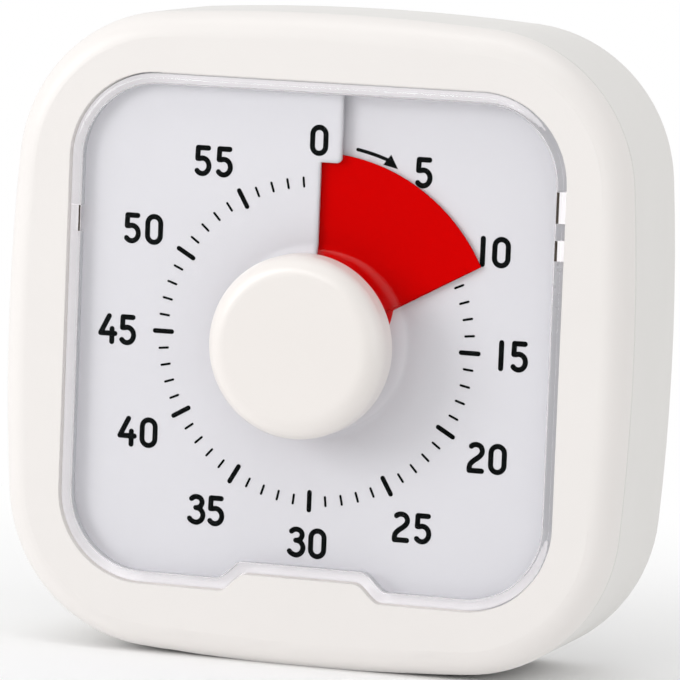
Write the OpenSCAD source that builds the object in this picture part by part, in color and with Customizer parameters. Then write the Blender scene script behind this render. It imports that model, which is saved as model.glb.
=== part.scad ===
// Visual countdown timer: a square clock case with a knob that draws a red disc round a printed dial.
// The front faces -Y, up is +Z, and the origin is the middle of the rear shell's flat base.
// All sizes are millimetres.

/* [Case] */
// Width and height of the case across the middle of its sides
case_size = 85; // [80:0.5:95]
// How much larger the radius of the bulged sides is than that of the corners
side_to_corner = 275; // [265:1:285]
// Thickness of the case walls
wall = 2; // [1.6:0.1:2.4]
// Height that is taken off the bulged underside to make the flat base
base_cut = 0.2; // [0.1:0.05:0.4]
// Depth of the front bezel, which is also the radius of its rounded edge
bezel_depth = 3.5; // [3:0.1:4.5]
// Thickness of the bezel round the window
bezel_plate = 1.7; // [1.2:0.1:1.9]
// Radius of the edge round the back
back_edge_r = 3.2; // [2:0.1:3.4]
// Bevel on both sides of the parting line
parting_bevel = 0.25; // [0.1:0.05:0.4]
// Width of the lip on the rear shell that centres the bezel
lip = 1; // [0.8:0.1:1.2]

/* [Window] */
// Width of the window
window_w = 67; // [64:0.5:68]
// Height of the window
window_h = 66.6; // [64:0.2:68]
// Radius of the window corners
window_corner = 11.5; // [9:0.5:13]
// Height of the window's centre above the dial's centre
window_up = 0.4; // [0:0.1:0.6]
// Height of the step in the lower edge of the window
notch_h = 2.4; // [1.5:0.1:3]
// Width of the step along its top
notch_w = 14.8; // [10:0.2:18]
// Width of each sloping end of the step
notch_ramp = 3.7; // [3:0.1:6]

/* [Lens] */
// Thickness of the lens and of its side wall
lens_t = 1; // [0.8:0.1:1.2]
// Width of the rounded edge of the lens
lens_wall = 1.3; // [1:0.1:1.6]
// Height of the lens over the bezel
lens_proud = 0.1; // [0:0.05:0.3]
// Width of the flange that holds the lens behind the bezel
lens_flange = 1.2; // [0.8:0.1:1.4]
// Radius of the hole in the lens, under the knob
lens_hole_r = 10.8; // [10.7:0.05:11]

/* [Dial and disc] */
// Rise of the spiral dial in one turn
pitch = 1.4; // [1.35:0.01:1.5]
// Thickness of the dial
dial_t = 0.5; // [0.4:0.05:0.55]
// Width and height of the dial plate
dial_size = 69; // [68.5:0.1:69.4]
// Radius of the dial plate's corners
dial_corner = 13.5; // [13:0.1:15]
// Radius of the hole in the dial
dial_hole_r = 9; // [8.8:0.1:9.4]
// Radius at which dial and disc start to rise towards the knob
cone_r = 12.7; // [12.2:0.1:13]
// Rise of that cone for each millimetre inwards
cone_slope = 0.35; // [0.25:0.01:0.36]
// Radius of the red disc
disc_r = 24.6; // [23:0.1:24.8]
// Thickness of the red disc
disc_t = 0.3; // [0.2:0.05:0.35]
// Angle of red that shows, clockwise from zero
shown_ang = 63; // [20:1:120]
// Extra angle of the red disc near the knob
lip_ang = 16; // [6:1:18]
// Radius of the red disc at the end of that extra angle
lip_end_r = 10.4; // [9.8:0.1:12]
// Width of the dial's tab over the rim of the disc
tab_w = 2.8; // [2:0.1:3.4]
// Distance of the tab's inner edge from the dial's centre
tab_r = 23.4; // [22:0.1:23.6]
// Radius of the tab's corner
tab_round = 0.7; // [0.3:0.1:1.2]

/* [Knob] */
// Radius of the knob
knob_r = 11.9; // [11.5:0.1:13]
// Distance of the knob's front face from the parting line
knob_front = 10.4; // [10:0.1:12]
// Distance of the knob's rear edge from the parting line
knob_back = 5.2; // [5:0.1:5.6]
// Radius of the knob's rounded front edge
knob_edge_r = 2.7; // [1.5:0.1:3]
// Thickness of the knob's walls
knob_wall = 1.5; // [1.2:0.1:1.8]
// Radius of the spindle
spindle_r = 3; // [2.6:0.1:3.2]
// Height of the spindle's flat above its centre
spindle_flat = 2.3; // [2:0.1:2.4]
// Gap between a shaft and its hole
fit = 0.05; // [0.02:0.01:0.09]
// Radius of the red disc's hub
hub_r = 6; // [5.5:0.1:6.2]
// Radius of the hub's flange
hub_flange_r = 8.2; // [7.6:0.1:8.3]

/* [Movement] */
// Width of the movement
move_w = 46; // [44:0.5:48]
// Height of the movement
move_h = 40; // [38:0.5:41]
// Height of the movement's centre above the spindle
move_up = 6; // [5.5:0.1:6.5]
// Depth of the movement
move_depth = 11; // [10.5:0.1:11.5]
// Thickness of the movement's walls
move_wall = 1.2; // [1:0.1:1.3]
// Thickness of the chassis plate
chassis_t = 1.2; // [1:0.1:1.4]
// Distance of the chassis plate behind the parting line
chassis_back = 3.2; // [3.1:0.05:3.3]
// Module of the gears, which is the pitch diameter for each tooth
gear_module = 0.4; // [0.38:0.01:0.41]
// Teeth of each wheel
wheel_teeth = 40; // [40:4:48]
// Teeth of each pinion
pinion_teeth = 16; // [12:1:16]

/* [Battery] */
// Length of the battery, one AA cell
battery_l = 50.5; // [49:0.1:51]
// Radius of the battery
battery_r = 7.25; // [7:0.05:7.4]
// Distance of the battery's axis below the spindle
battery_down = 27; // [26.5:0.1:27.5]
// Gap between the battery and its bay
battery_gap = 0.25; // [0.2:0.05:0.3]
// Gap between the battery bay and the chassis plate
bay_spare = 0.25; // [0.1:0.05:3]
// Thickness of the battery door
door_t = 1.4; // [1.2:0.1:1.5]
// Gap round the battery door
door_gap = 0.25; // [0.2:0.05:0.35]
// Width of the ledge under the battery door
door_ledge = 1.5; // [1:0.1:1.8]

/* [Sound] */
// Radius of the buzzer
buzzer_r = 5.5; // [4.5:0.1:5.8]
// Radius of each sound hole
sound_hole_r = 0.7; // [0.5:0.05:0.9]
// Distance from one sound hole to the next
sound_pitch = 2.6; // [2.4:0.1:2.8]
// Travel of the volume slider
slider_travel = 4; // [3:0.2:4.4]

/* [Screws] */
// Radius of the case screws
screw_r = 0.95; // [0.8:0.05:1]
// Radius of the screw heads
screw_head_r = 1.6; // [1.5:0.05:1.7]
// Distance of the case screws inwards from the middle of each side
screw_in = 10.5; // [10.4:0.05:10.6]

/* [Hidden] */
$fn = 64;
eps = 0.01;
half = case_size / 2;
screw_at = half - screw_in;
axis_z = half - base_cut;
bay_wall = 0.9;
door_clear = 0.3;
// Depth of the rear shell behind the parting line, from what it holds
shell_depth = chassis_back + chassis_t + bay_spare + bay_wall + 2 * battery_r + battery_gap
    + door_clear + door_t;
parting_y = -shell_depth / 2;
boss_r = 1.8;
plate_half = half - bezel_depth - 0.6;
window_gap = 0.15;
flange_deep = 0.6;
screw_roof = 0.6;
// Snap hooks of the bezel in gaps of the lens: side, lowest and highest point
hooks = [[-1, 12.5, 15.9], [1, 12.8, 15.4], [1, 17.6, 21.6]];
hook_w = 1.1;
hook_gap = 0.3;
hook_deep = 1.2;
lip_root = 2;
lip_foot = 1.5;
lip_clear = 0.5;
back_in = -shell_depth + wall;
// A side arc meets a corner arc where both centres lie on one line, which leans by bulge_ang.
// This lean is the smallest angle of a 237 : 3116 : 3125 triangle.
bulge_ang = atan2(237, 3116);
corner_at = side_to_corner * 237 / 3125;
corner_r = half - corner_at - side_to_corner * 9 / 3125;
side_r = side_to_corner + corner_r;
seat_gap = 0.1;
plate_back = bezel_depth - bezel_plate;
lens_front = bezel_depth + lens_proud;
lens_back = plate_back - seat_gap - flange_deep;
// Middle of the dial's and the disc's thickness at zero on the dial
dial_low = -pitch / 2;
cone_top_r = dial_hole_r - 0.1;
cone_rise = cone_slope * (cone_r - cone_top_r);
disc_in_r = hub_r + 0.2;
disc_low = cone_rise - pitch * (360 - shown_ang) / 360 - disc_t / 2;
disc_high = cone_rise + pitch * (shown_ang + lip_ang) / 360 + disc_t / 2;
flange_top = disc_low - 0.02;
flange_t = 1;
ring_t = 0.8;
ring_r = hub_flange_r - 0.4;
press = 0.02;
knob_bore = 2;
knob_stem = 0.6;
rib_t = 0.8;
rib_deep = 2.4;
chassis_front = -chassis_back;
chassis_rear = chassis_front - chassis_t;
chassis_half = half - wall - lip - 1.2;
dial_post_at = dial_size / 2 - 9.5;
dial_post_r = 2;
pin_r = 0.9;
move_front = chassis_rear;
move_back = move_front - move_depth;
bush_r = 4.2;
bush_top = chassis_front + 1.35;
nut_t = 1.1;
clip_in_r = 2.55;
gear_t = 1.2;
gear_front = move_front - move_wall - 1.2;
gear_hub_r = 3.2;
gear_hub_t = 0.8;
web_hole_r = 1.4;
spring_r = 2.8;
spring_t = 0.33;
wheel_pitch_r = gear_module * wheel_teeth / 2;
pinion_pitch_r = gear_module * pinion_teeth / 2;
gear_gap = wheel_pitch_r + pinion_pitch_r;
third_ang = 60;
rotor_ang = 150;
third_xy = gear_gap * [cos(third_ang), sin(third_ang)];
rotor_xy = third_xy + gear_gap * [cos(rotor_ang), sin(rotor_ang)];
arbor_r = 0.8;
magnet_r = 3;
wheel_high = gear_front - gear_t - 1.4;
stator_h = wheel_high - gear_t - 2.4;
stator_t = 0.8;
stator_half = 5.5;
magnet_gap = 0.5;
coil_x = -14.5;
coil_w = 9.2;
coil_l = 9;
coil_t = 3.4;
coil_core_w = 6;
coil_core_t = 1.8;
cheek_t = 0.8;
circuit_left = -20.5;
circuit_low = -11.5;
circuit_w = 17;
circuit_h = 18;
circuit_t = 0.8;
crystal_r = 1.5;
crystal_l = 7;
pivot_r = 1.5;
bay_half_h = battery_r + battery_gap;
bay_left = -28;
bay_right = 26.6;
nub_l = 1;
nub_r = 2.75;
battery_right = bay_right - 0.4;
battery_left = battery_right - battery_l;
battery_axis_h = -shell_depth + door_t + door_clear + battery_r;
contact_w = 11;
contact_t = 0.4;
bay_floor = battery_axis_h + bay_half_h;
door_h = 2 * bay_half_h + 2 * door_ledge;
door_w = bay_right - bay_left + 2 * door_ledge;
door_x = (bay_right + bay_left) / 2;
hinge_r = door_t / 2;
hinge_up = -battery_down + door_h / 2 - hinge_r;
hinge_h = -shell_depth + hinge_r;
hinge_pin_r = 0.45;
hinge_pin_l = 0.5;
board_h = -14;
board_t = 1;
board_up = half - 8.9;
board_w = 50;
board_half_h = 5;
board_post_x = 22;
board_post_r = 2.2;
sound_x = 12;
switch_x = -10;
switch_w = 10;
switch_half_h = 2.6;
lever_half = 1.2;
slot_half = 1.6;
post_r = 2.6;
head_seat = -shell_depth + 8;
screw_head_t = 1.4;
screw_free = 0.2;
cross_l = 2.2;
cross_w = 0.4;
cross_deep = 1.2;
screw_l = -head_seat + 0.6;

// ---- shared shapes ----

// Turns a piece drawn with x right, y up and z forward into its place in the case.
module face() {
    translate([0, parting_y, axis_z]) rotate([90, 0, 0]) children();
}

// Sweeps a section round the case outline. The section's x is measured outwards from the
// centre of a corner and its y is forward.
module round_case() {
    for (quarter = [0:3], flip = [0, 1]) rotate(90 * quarter) mirror([flip, 0]) {
        translate([0, half - side_r]) rotate(90 - bulge_ang)
            rotate_extrude(angle = bulge_ang + 0.1, $fn = 900) translate([side_to_corner, 0])
                children();
        translate([corner_at, corner_at]) rotate(90 - bulge_ang) mirror([0, 1])
            rotate_extrude(angle = 46 - bulge_ang, $fn = 120) children();
    }
}

// Flat outline with round corners.
module round_rect(w, h, r) {
    square([w - 2 * r, h], center = true);
    square([w, h - 2 * r], center = true);
    for (x = [-1, 1], y = [-1, 1]) translate([x * (w / 2 - r), y * (h / 2 - r)]) circle(r = r);
}

module tube(r_out, r_in, low, high) {
    translate([0, 0, low]) difference() {
        cylinder(r = r_out, h = high - low);
        translate([0, 0, -1]) cylinder(r = r_in, h = high - low + 2);
    }
}

module rod(r, low, high) {
    translate([0, 0, low]) cylinder(r = r, h = high - low);
}

module at_corners(distance) {
    for (x = [-1, 1], y = [-1, 1]) translate([x * distance, y * distance]) children();
}

// Round shaft with one flat, used for the spindle and for every bore on it.
module d_shape(r, flat) {
    intersection() {
        circle(r = r);
        translate([-r - 1, -r - 1]) square([2 * r + 2, r + 1 + flat]);
    }
}

// Step in the lower edge of the window, with smooth sloping ends.
module notch_2d(grow) {
    low = -window_h / 2 - grow;
    steps = 8;
    ramp = [for (i = [0:steps]) [notch_w / 2 - grow / 2 + notch_ramp * (1 - i / steps),
        low + notch_h * (1 - cos(180 * i / steps)) / 2]];
    left = [for (i = [steps:-1:0]) [-ramp[i].x, ramp[i].y]];
    polygon(concat([[ramp[0].x, low - 3]], ramp, left, [[-ramp[0].x, low - 3]]));
}

module window_2d(grow) {
    translate([0, window_up]) difference() {
        round_rect(window_w + 2 * grow, window_h + 2 * grow, window_corner + grow);
        notch_2d(grow);
    }
}

// Distance from the middle to the edge of a rounded square, along a direction.
function edge_r(ang, h, r) =
    let (a = abs(((ang + 45) % 90) - 45), d = (h - r) * sqrt(2))
    h * tan(a) <= h - r ? h / cos(a)
    : d * cos(45 - a) + sqrt(r * r - pow(d * sin(45 - a), 2));

function cone(r) = cone_slope * max(0, cone_r - max(r, cone_top_r));

// Sheet that climbs as it turns clockwise. Each row of points lies at one angle and each
// ring(angle) gives its radii, from the hub outwards.
module spiral_sheet(start, end, steps, rings, middle, t) {
    n = len(rings(start));
    angs = [for (i = [0:steps]) start + (end - start) * i / steps];
    low = [for (a = angs) each [for (r = rings(a))
        [r * sin(a), r * cos(a), middle + pitch * a / 360 + cone(r) - t / 2]]];
    high = [for (p = low) p + [0, 0, t]];
    count = len(low);
    across = [for (i = [0:steps - 1], j = [0:n - 2]) [i * n + j, (i + 1) * n + j, i * n + j + 1]];
    across2 = [for (i = [0:steps - 1], j = [0:n - 2])
        [(i + 1) * n + j, (i + 1) * n + j + 1, i * n + j + 1]];
    under = concat(across, across2);
    over = [for (f = under) [f[2] + count, f[1] + count, f[0] + count]];
    function strip(a, b) = [[a, b, b + count], [a, b + count, a + count]];
    inner = [for (i = [0:steps - 1]) each strip((i + 1) * n, i * n)];
    outer = [for (i = [0:steps - 1]) each strip(i * n + n - 1, (i + 1) * n + n - 1)];
    first = [for (j = [0:n - 2]) each strip(j, j + 1)];
    last = [for (j = [0:n - 2]) each strip(steps * n + j + 1, steps * n + j)];
    polyhedron(points = concat(low, high), faces = concat(under, over, inner, outer, first, last));
}

// Toothed wheel outline, with a tooth centred on the x axis.
module gear_2d(teeth) {
    r = gear_module * teeth / 2;
    root = r - 1.3 * gear_module;
    tip = r + 0.8 * gear_module;
    slot = 90 / teeth;
    polygon([for (i = [0:teeth - 1], p = [[root, -1.15], [r, -0.8], [tip, -0.4], [tip, 0.4], [r, 0.8],
        [root, 1.15]]) p[0] * [cos(4 * slot * i + p[1] * slot), sin(4 * slot * i + p[1] * slot)]]);
}

// ---- case ----

module bezel_section() {
    difference() {
        intersection() {
            union() {
                translate([corner_r - bezel_depth, 0]) circle(r = bezel_depth);
                square([corner_r - bezel_depth, bezel_depth]);
            }
            square([corner_r, bezel_depth]);
        }
        translate([-1, -1]) square([corner_r - wall + 1, plate_back + 1]);
        polygon([[corner_r - parting_bevel, -eps], [corner_r + eps, -eps],
            [corner_r + eps, parting_bevel]]);
    }
}

module front_bezel() {
    color("#f0ece9") face() difference() {
        union() {
            round_case() bezel_section();
            translate([0, 0, plate_back]) linear_extrude(bezel_plate)
                round_rect(2 * plate_half, 2 * plate_half, plate_half - corner_at);
            at_corners(screw_at) rod(boss_r, chassis_front + seat_gap, plate_back + eps);
            for (k = hooks) translate([k[0] * (window_w / 2 + window_gap + hook_w / 2) - hook_w / 2,
                k[1] + hook_gap, lens_back])
                cube([hook_w, k[2] - k[1] - 2 * hook_gap, plate_back - lens_back + eps]);
        }
        linear_extrude(2 * bezel_depth + 2, center = true) window_2d(window_gap);
        at_corners(screw_at) rod(screw_r + fit, chassis_front - 1, plate_back - screw_roof);
        translate([-half, -half - 1, -1]) cube([case_size, 1 + base_cut, bezel_depth + 2]);
    }
}

// The flange stops short of the corners, where the screw bosses stand.
module flange_2d() {
    square([window_w - 2 * window_corner, case_size], center = true);
    square([case_size, window_h - 2 * window_corner], center = true);
}

module lens() {
    color("#e8eef0", 0.35) face() difference() {
        union() {
            translate([0, 0, lens_back]) linear_extrude(lens_front - lens_back) window_2d(0);
            translate([0, 0, lens_back]) linear_extrude(flange_deep) intersection() {
                window_2d(lens_flange);
                flange_2d();
            }
        }
        translate([0, 0, lens_back - 1]) linear_extrude(lens_front - lens_t - lens_back + 1)
            window_2d(-lens_wall);
        rod(lens_hole_r, lens_back - 1, lens_front + 1);
        for (k = hooks) translate([k[0] * window_w / 2 - lens_wall - eps, k[1], lens_back - 1])
            cube([2 * lens_wall + 2 * eps, k[2] - k[1], 1 + hook_deep]);
    }
}

module shell_section() {
    difference() {
        union() {
            translate([corner_r - back_edge_r, -shell_depth + back_edge_r]) circle(r = back_edge_r);
            translate([0, -shell_depth]) square([corner_r - back_edge_r, shell_depth]);
            translate([0, -shell_depth + back_edge_r]) square([corner_r, shell_depth - back_edge_r]);
        }
        translate([-1, back_in]) square([corner_r - wall + 1, shell_depth]);
        polygon([[corner_r - parting_bevel, eps], [corner_r + eps, eps],
            [corner_r + eps, -parting_bevel]]);
    }
}

module lip_section() {
    translate([corner_r - wall - seat_gap - lip, -lip_root]) {
        square([lip, plate_back + lip_root - lip_clear]);
        square([lip + seat_gap + eps, lip_foot]);
    }
}

module sound_holes(depth) {
    for (i = [-2:2], j = [-1:1]) if (abs(i) + abs(j) < 3)
        translate([sound_x + sound_pitch * i, board_up + sound_pitch * j, -shell_depth - 1])
            cylinder(r = sound_hole_r, h = depth + 2);
}

module bay_block(grow, low, high) {
    translate([bay_left - grow, -battery_down - bay_half_h - grow, low])
        cube([bay_right - bay_left + 2 * grow, 2 * bay_half_h + 2 * grow, high - low]);
}

module rear_shell() {
    color("#dedddb") face() difference() {
        union() {
            round_case() shell_section();
            round_case() lip_section();
            translate([-corner_at - 1, -corner_at - 1, -shell_depth])
                cube([2 * corner_at + 2, 2 * corner_at + 2, wall]);
            at_corners(screw_at) rod(post_r, back_in - eps, chassis_rear - seat_gap);
            bay_block(bay_wall, back_in - eps, bay_floor + bay_wall);
            for (x = [-1, 1]) translate([x * board_post_x, board_up]) {
                rod(board_post_r, back_in - eps, board_h - board_t);
                rod(pin_r, back_in - eps, board_h + 0.6);
            }
        }
        bay_block(0, -shell_depth - 1, bay_floor);
        translate([door_x - door_w / 2 - door_gap, -battery_down - door_h / 2 - door_gap, -shell_depth - 1])
            cube([door_w + 2 * door_gap, door_h + 2 * door_gap, door_t + 0.1 + 1]);
        at_corners(screw_at) {
            rod(screw_r + screw_free, -shell_depth - 1, 0);
            rod(screw_head_r + screw_free, -shell_depth - 1, head_seat);
        }
        hinge_pins(hinge_pin_r + fit, hinge_pin_l + 0.1);
        sound_holes(wall);
        translate([switch_x - slider_travel / 2 - slot_half, board_up - slot_half, -shell_depth - 1])
            cube([slider_travel + 2 * slot_half, 2 * slot_half, wall + 2]);
        translate([-half, -half - 1, -shell_depth - 1])
            cube([case_size, 1 + base_cut, shell_depth + 2]);
    }
}

module case_screws() {
    color("#8d9094") face() at_corners(screw_at) difference() {
        union() {
            rod(screw_r, head_seat - eps, head_seat + screw_l);
            rod(screw_head_r, head_seat - screw_head_t, head_seat);
        }
        for (turn = [0, 90]) rotate(turn)
            translate([-cross_l / 2, -cross_w / 2, head_seat - screw_head_t - 1])
                cube([cross_l, cross_w, 1 + cross_deep / 2]);
    }
}

// ---- dial and disc ----

function dial_rings(a) = [dial_hole_r, cone_r, edge_r(a, dial_size / 2, dial_corner)];
function disc_rings(a) = [disc_in_r, cone_top_r, cone_r, disc_r];
// Beyond the red that shows, the disc narrows towards the knob.
function disc_lip_rings(a) =
    [disc_in_r, cone_top_r, cone_r - (cone_r - lip_end_r) * (a - shown_ang) / lip_ang];

module dial_plate() {
    color("#e2e1e6") face() {
        spiral_sheet(0, 360, 120, function(a) dial_rings(a), dial_low, dial_t);
        translate([0, 0, dial_low + pitch - dial_t / 2]) linear_extrude(dial_t) {
            translate([-eps, tab_r]) square([tab_w - tab_round + eps, dial_size / 2 - tab_r]);
            translate([-eps, tab_r + tab_round]) square([tab_w + eps, dial_size / 2 - tab_r - tab_round]);
            translate([tab_w - tab_round, tab_r + tab_round]) circle(r = tab_round);
        }
        for (i = [0:3]) let (a = 45 + 90 * i, top = dial_low + pitch * a / 360)
            rotate(-a) translate([0, dial_post_at * sqrt(2)]) {
                rod(dial_post_r, chassis_front, top);
                rod(pin_r, chassis_rear + 0.1, top);
            }
    }
}

module red_disc() {
    color("#d60000") face() {
        spiral_sheet(shown_ang - 360, shown_ang, 120, function(a) disc_rings(a), 0, disc_t);
        spiral_sheet(shown_ang, shown_ang + lip_ang, 8, function(a) disc_lip_rings(a), 0, disc_t);
    }
}

module disc_hub() {
    color("#c40000") face() difference() {
        union() {
            rod(hub_r, flange_top - flange_t, disc_high + fit + ring_t + 0.4);
            rod(hub_flange_r, flange_top - flange_t, flange_top);
        }
        translate([0, 0, flange_top - flange_t - 1]) linear_extrude(disc_high + 8)
            d_shape(spindle_r + fit, spindle_flat + fit);
    }
}

module hub_ring() {
    color("#c40000") face() tube(ring_r, hub_r + press, disc_high + fit, disc_high + fit + ring_t);
}

// ---- knob and spindle ----

module knob_section() {
    difference() {
        union() {
            square([knob_r - knob_edge_r, knob_front]);
            square([knob_r, knob_front - knob_edge_r]);
            translate([knob_r - knob_edge_r, knob_front - knob_edge_r]) circle(r = knob_edge_r);
        }
        translate([-1, -1]) square([knob_r + 2, knob_back + 1]);
        translate([spindle_r + knob_bore, -1])
            square([knob_r - knob_wall - spindle_r - knob_bore, knob_front - knob_wall + 1]);
    }
}

module knob() {
    color("#efebe8") face() difference() {
        union() {
            rotate_extrude() knob_section();
            rod(spindle_r + knob_bore, knob_back - knob_stem, knob_front - 1);
            for (a = [0:60:300]) rotate(a)
                translate([spindle_r + 1, -rib_t / 2, knob_front - rib_deep - 1])
                    cube([knob_r - spindle_r - knob_bore, rib_t, rib_deep]);
        }
        translate([0, 0, knob_back - 2]) linear_extrude(knob_front - knob_wall - knob_back + 2)
            d_shape(spindle_r + press, spindle_flat + press);
    }
}

module spindle() {
    color("#b9bcc0") face() difference() {
        union() {
            translate([0, 0, gear_front]) linear_extrude(knob_front - knob_wall - 0.1 - gear_front)
                d_shape(spindle_r, spindle_flat);
            rod(spindle_r, gear_front + eps, bush_top);
            rod(pivot_r, move_back + 0.2, gear_front + eps);
        }
        tube(spindle_r + 1, clip_in_r - 0.05, bush_top + 0.05, bush_top + 0.5);
    }
}

module retaining_clip() {
    color("#8d9094") face() difference() {
        tube(spindle_r + 0.9, clip_in_r, bush_top + 0.08, bush_top + 0.43);
        translate([-1.5, 0, bush_top]) cube([3, 6, 1]);
    }
}

// ---- movement ----

module chassis_plate() {
    color("#c9ccd0") face() difference() {
        translate([0, 0, chassis_rear]) linear_extrude(chassis_t)
            round_rect(2 * chassis_half, 2 * chassis_half, corner_r - wall - lip - 1.5);
        rod(bush_r + fit, chassis_rear - 1, chassis_front + 1);
        at_corners(screw_at) rod(screw_r + 0.2, chassis_rear - 1, chassis_front + 1);
        at_corners(dial_post_at) rod(pin_r + 0.1, chassis_rear - 1, chassis_front + 1);
        for (x = [-1, 1]) translate([x * (move_w / 2 + 5), move_up, chassis_rear - 1])
            linear_extrude(chassis_t + 2) round_rect(5, move_h - 10, 2.4);
    }
}

module movement_front() {
    color("#3a3d42") face() difference() {
        union() {
            translate([0, move_up, move_front - move_wall]) linear_extrude(move_wall)
                round_rect(move_w, move_h, 3);
            rod(bush_r, move_front - eps, bush_top);
        }
        rod(spindle_r + fit, move_front - 2 * move_wall, bush_top + 1);
        translate(third_xy) rod(arbor_r + fit, move_front - 2 * move_wall, move_front + 1);
        translate(rotor_xy) rod(arbor_r + fit, move_front - 2 * move_wall, move_front + 1);
    }
}

module movement_rear() {
    color("#4a4e54") face() difference() {
        translate([0, move_up, move_back]) difference() {
            linear_extrude(move_depth - move_wall) round_rect(move_w, move_h, 3);
            translate([0, 0, move_wall]) linear_extrude(move_depth)
                round_rect(move_w - 2 * move_wall, move_h - 2 * move_wall, 1.8);
        }
        rod(pivot_r + fit, move_back - 1, move_back + 2 * move_wall);
        translate(third_xy) rod(arbor_r + fit, move_back - 1, move_back + 2 * move_wall);
        translate(rotor_xy) rod(arbor_r + fit, move_back - 1, move_back + 2 * move_wall);
    }
}

module spindle_nut() {
    color("#c8a75a") face() difference() {
        translate([0, 0, chassis_front]) cylinder(r = 6.9, h = nut_t, $fn = 6);
        rod(bush_r + press, chassis_front - 1, bush_top + 1);
    }
}

module spindle_gear() {
    color("#e8e4d8") face() difference() {
        union() {
            translate([0, 0, gear_front - gear_t]) linear_extrude(gear_t)
                rotate(third_ang) gear_2d(wheel_teeth);
            rod(gear_hub_r, gear_front - gear_t - gear_hub_t, gear_front);
        }
        rod(pivot_r + press, gear_front - 5, gear_front + 1);
        for (a = [0:90:270]) rotate(a + third_ang + 45)
            translate([(gear_hub_r + wheel_pitch_r - 1.3 * gear_module) / 2, 0])
                rod(web_hole_r, gear_front - 5, gear_front + 1);
    }
}

module friction_spring() {
    low = gear_front - gear_t - gear_hub_t;
    color("#b9bcc0") face() difference() {
        rod(spring_r, low - press - spring_t, low - press);
        rod(pivot_r + press, low - 1, low + 1);
        rotate(-120) translate([0, -0.5, low - 1]) cube([spring_r + 1, 1, 2]);
    }
}

// The wheel lies behind the spindle gear and its pinion reaches forward into that gear.
module third_wheel() {
    color("#e8e4d8") face() translate(third_xy) {
        rod(arbor_r, move_back + 0.2, move_front - 0.2);
        translate([0, 0, wheel_high - eps]) linear_extrude(gear_front + 0.3 - wheel_high)
            rotate(third_ang + 180 + 180 / pinion_teeth) gear_2d(pinion_teeth);
        translate([0, 0, wheel_high - gear_t]) linear_extrude(gear_t)
            rotate(rotor_ang) gear_2d(wheel_teeth);
    }
}

module rotor_pinion() {
    color("#e8e4d8") face() translate(rotor_xy) {
        rod(arbor_r, move_back + 0.2, move_front - 0.2);
        translate([0, 0, wheel_high - gear_t - 0.4]) linear_extrude(gear_t + 0.9)
            rotate(rotor_ang + 180 + 180 / pinion_teeth) gear_2d(pinion_teeth);
    }
}

module rotor_magnet() {
    color("#55585c") face() translate(rotor_xy)
        tube(magnet_r, arbor_r + press, wheel_high - gear_t - 2.6, wheel_high - gear_t - 0.45);
}

module stator() {
    color("#8d9094") face() translate([0, 0, stator_h]) linear_extrude(stator_t) difference() {
        translate([coil_x - stator_half, rotor_xy.y - stator_half])
            square([rotor_xy.x - coil_x + 2 * stator_half, 2 * stator_half]);
        translate(rotor_xy) circle(r = magnet_r + magnet_gap);
    }
}

module coil_bobbin() {
    color("#2f6f4a") face() translate([coil_x, rotor_xy.y, stator_h + stator_t + press]) {
        for (side = [0, 1]) mirror([0, side]) translate([-coil_w / 2, coil_l / 2 - eps, 0])
            cube([coil_w, cheek_t, coil_t]);
        translate([-coil_core_w / 2, -coil_l / 2, (coil_t - coil_core_t) / 2])
            cube([coil_core_w, coil_l, coil_core_t]);
    }
}

module coil_winding() {
    color("#b5602c") face()
        translate([coil_x, rotor_xy.y, stator_h + stator_t + press + coil_t / 2]) difference() {
            cube([coil_w - 0.8, coil_l - 0.1, coil_t - 0.1], center = true);
            cube([coil_core_w + 2 * press, coil_l + 1, coil_core_t + 2 * press], center = true);
        }
}

module circuit_board() {
    color("#2c7a3f") face() translate([circuit_left, circuit_low, move_back + move_wall + press])
        linear_extrude(circuit_t) difference() {
            square([circuit_w, circuit_h]);
            translate([circuit_w / 2, circuit_h / 2]) circle(r = 1);
        }
}

module crystal() {
    color("#c9ccd0") face() translate([circuit_left + 3, circuit_low + 0.75 * circuit_h,
        move_back + move_wall + circuit_t + fit + crystal_r])
        rotate([0, 90, 0]) cylinder(r = crystal_r, h = crystal_l);
}

// ---- battery, door and sound ----

module battery() {
    color("#3f6fa8") face() translate([battery_left, -battery_down, battery_axis_h])
        rotate([0, 90, 0]) {
            cylinder(r = battery_r, h = battery_l - nub_l);
            cylinder(r = nub_r, h = battery_l);
        }
}

module contact_spring() {
    color("#c9ccd0") face() translate([bay_left + press, -battery_down, battery_axis_h]) {
        translate([0, -contact_w / 2, -contact_w / 2]) cube([contact_t, contact_w, contact_w]);
        rotate([0, 90, 0]) tube(4, 3.2, contact_t - eps, 3 * contact_t);
        rotate([0, 90, 0]) tube(3.4, 2.6, 3 * contact_t - eps, battery_left - bay_left - 2 * press);
    }
}

module contact_plate() {
    color("#c9ccd0") face()
        translate([battery_right + eps, -battery_down - contact_w / 2, battery_axis_h - contact_w / 2])
            cube([bay_right - battery_right - 3 * eps, contact_w, contact_w]);
}

// Pins on the ends of the door's top edge, and the holes for them.
module hinge_pins(r, l) {
    translate([door_x - door_w / 2 - door_gap - l, hinge_up, hinge_h]) rotate([0, 90, 0])
        cylinder(r = r, h = door_w + 2 * door_gap + 2 * l);
}

module battery_door() {
    color("#dedddb") face() difference() {
        union() {
            translate([door_x - door_w / 2, -battery_down - door_h / 2, -shell_depth])
                cube([door_w, door_h - hinge_r, door_t]);
            translate([door_x - door_w / 2, hinge_up, hinge_h]) rotate([0, 90, 0])
                cylinder(r = hinge_r, h = door_w);
            hinge_pins(hinge_pin_r, hinge_pin_l);
        }
        translate([door_x, -battery_down - door_h / 2 + 2.6, -shell_depth - 5.2]) sphere(r = 6);
    }
}

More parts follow.
